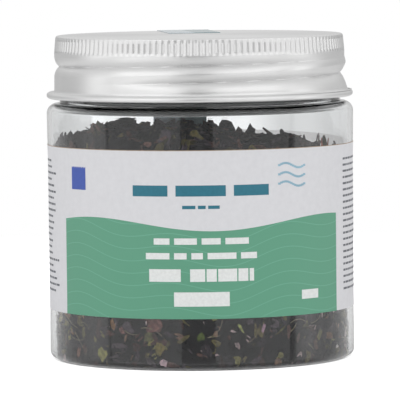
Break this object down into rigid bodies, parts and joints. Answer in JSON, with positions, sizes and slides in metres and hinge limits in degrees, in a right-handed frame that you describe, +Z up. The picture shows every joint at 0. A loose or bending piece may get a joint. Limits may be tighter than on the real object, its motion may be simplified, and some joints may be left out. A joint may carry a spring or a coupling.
{
  "type": "screw-lid jar of dried seaweed pieces",
  "caption": "Clear straight-sided jar filled with dried, chopped red seaweed, with a knurled aluminium screw lid, a lid liner, a wrap label and a paper seal strip.",
  "frame": {"origin": "centre of the jar's base, on the plane that it stands on", "axes": "+Z up along the screw axis of the lid; -Y towards the front of the label; +X to the right seen from the front"},
  "size_m": [0.076, 0.076, 0.0794],
  "materials": {
    "clear_plastic": "clear, glossy, smooth",
    "lid_aluminium": "satin, bare rolled sheet",
    "liner_foam": "matt white foam",
    "label_paper": "satin coated paper, white with a green lower field",
    "seal_paper": "satin teal paper strip",
    "dried_seaweed": "matt dark purple-brown flakes with olive and pink-brown ones"
  },
  "bodies": {
    "jar": {"jar_body": "clear_plastic", "body_label": "label_paper", "seal_strip_jar": "seal_paper", "moss_pieces": "dried_seaweed"},
    "liner": {"lid_liner": "liner_foam"},
    "lid": {"lid_shell": "lid_aluminium", "seal_strip_lid": "seal_paper"}
  },
  "joints": [
    {"name": "lid_lift", "type": "slide", "parent": "jar", "child": "liner", "axis": [0, 0, 1], "range_m": [0, 0.0166]},
    {"name": "lid_turn", "type": "hinge", "parent": "liner", "child": "lid", "pos_m": [0, 0, 0.07], "axis": [0, 0, 1], "range_deg": [0, 1485]}
  ],
  "couplings": [
    {"joint": "lid_lift", "follows": "lid_turn", "m_per_rad": 0.00063662}
  ]
}
